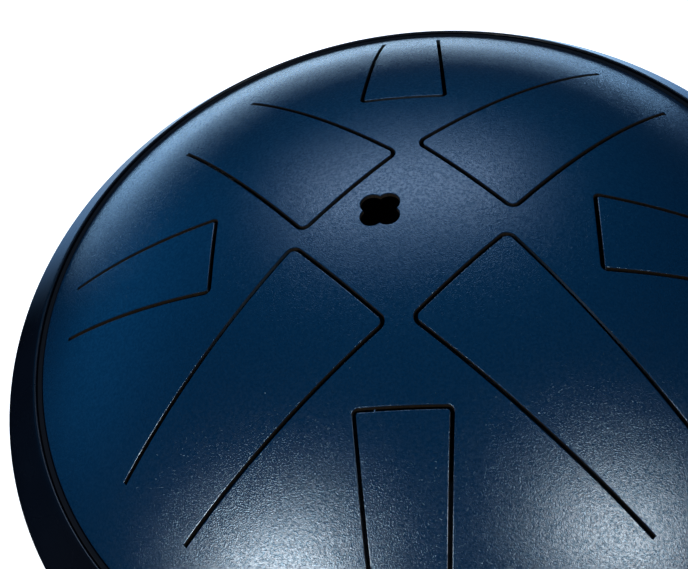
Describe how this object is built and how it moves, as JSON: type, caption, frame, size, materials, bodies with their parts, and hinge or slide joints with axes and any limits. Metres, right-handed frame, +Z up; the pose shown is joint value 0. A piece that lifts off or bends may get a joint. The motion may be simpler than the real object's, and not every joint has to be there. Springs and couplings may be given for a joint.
{
  "type": "tongue drum",
  "caption": "Steel tongue drum: a navy dome with slotted, springy tongues and a lobed sound hole, sealed into the rim of a round black bowl that stands on rubber feet.",
  "frame": {"origin": "on the ground, under the middle of the drum", "axes": "+Z up through the crown of the dome, +X towards tongue_right, +Y towards tongue_back"},
  "size_m": [0.35, 0.35, 0.164],
  "materials": {
    "navy_powder_coat": "fine-grained satin powder coat on steel sheet",
    "black_enamel": "smooth semi-gloss enamel on steel sheet",
    "black_rubber": "matt moulded rubber"
  },
  "bodies": {
    "drum_body": {"top_shell": "navy_powder_coat", "rim_seal": "black_rubber", "bottom_shell": "black_enamel", "foot_front": "black_rubber", "foot_back_right": "black_rubber", "foot_back_left": "black_rubber"},
    "tongue_back_right": {"tongue_back_right": "navy_powder_coat"},
    "tongue_back_left": {"tongue_back_left": "navy_powder_coat"},
    "tongue_front_left": {"tongue_front_left": "navy_powder_coat"},
    "tongue_front_right": {"tongue_front_right": "navy_powder_coat"},
    "tongue_right": {"tongue_right": "navy_powder_coat"},
    "tongue_back": {"tongue_back": "navy_powder_coat"},
    "tongue_left": {"tongue_left": "navy_powder_coat"},
    "tongue_front": {"tongue_front": "navy_powder_coat"}
  },
  "joints": [
    {"name": "tongue_back_right_flex", "type": "hinge", "parent": "drum_body", "child": "tongue_back_right", "pos_m": [0.09394, 0.09394, 0.12093], "axis": [-0.7071, 0.7071, 0], "range_deg": [-0.3, 0.3], "stiffness_Nm_per_rad": 150},
    {"name": "tongue_back_left_flex", "type": "hinge", "parent": "drum_body", "child": "tongue_back_left", "pos_m": [-0.08086, 0.08086, 0.13268], "axis": [-0.7071, -0.7071, 0], "range_deg": [-0.3, 0.3], "stiffness_Nm_per_rad": 170},
    {"name": "tongue_front_left_flex", "type": "hinge", "parent": "drum_body", "child": "tongue_front_left", "pos_m": [-0.09253, -0.09253, 0.12232], "axis": [0.7071, -0.7071, 0], "range_deg": [-0.3, 0.3], "stiffness_Nm_per_rad": 150},
    {"name": "tongue_front_right_flex", "type": "hinge", "parent": "drum_body", "child": "tongue_front_right", "pos_m": [0.09394, -0.09394, 0.12093], "axis": [0.7071, 0.7071, 0], "range_deg": [-0.3, 0.3], "stiffness_Nm_per_rad": 150},
    {"name": "tongue_right_flex", "type": "hinge", "parent": "drum_body", "child": "tongue_right", "pos_m": [0.13935, 0, 0.11618], "axis": [0, 1, 0], "range_deg": [-0.3, 0.3], "stiffness_Nm_per_rad": 150},
    {"name": "tongue_back_flex", "type": "hinge", "parent": "drum_body", "child": "tongue_back", "pos_m": [0, 0.13935, 0.11618], "axis": [-1, 0, 0], "range_deg": [-0.3, 0.3], "stiffness_Nm_per_rad": 150},
    {"name": "tongue_left_flex", "type": "hinge", "parent": "drum_body", "child": "tongue_left", "pos_m": [-0.13935, 0, 0.11618], "axis": [0, -1, 0], "range_deg": [-0.3, 0.3], "stiffness_Nm_per_rad": 150},
    {"name": "tongue_front_flex", "type": "hinge", "parent": "drum_body", "child": "tongue_front", "pos_m": [0, -0.13935, 0.11618], "axis": [1, 0, 0], "range_deg": [-0.3, 0.3], "stiffness_Nm_per_rad": 150}
  ]
}
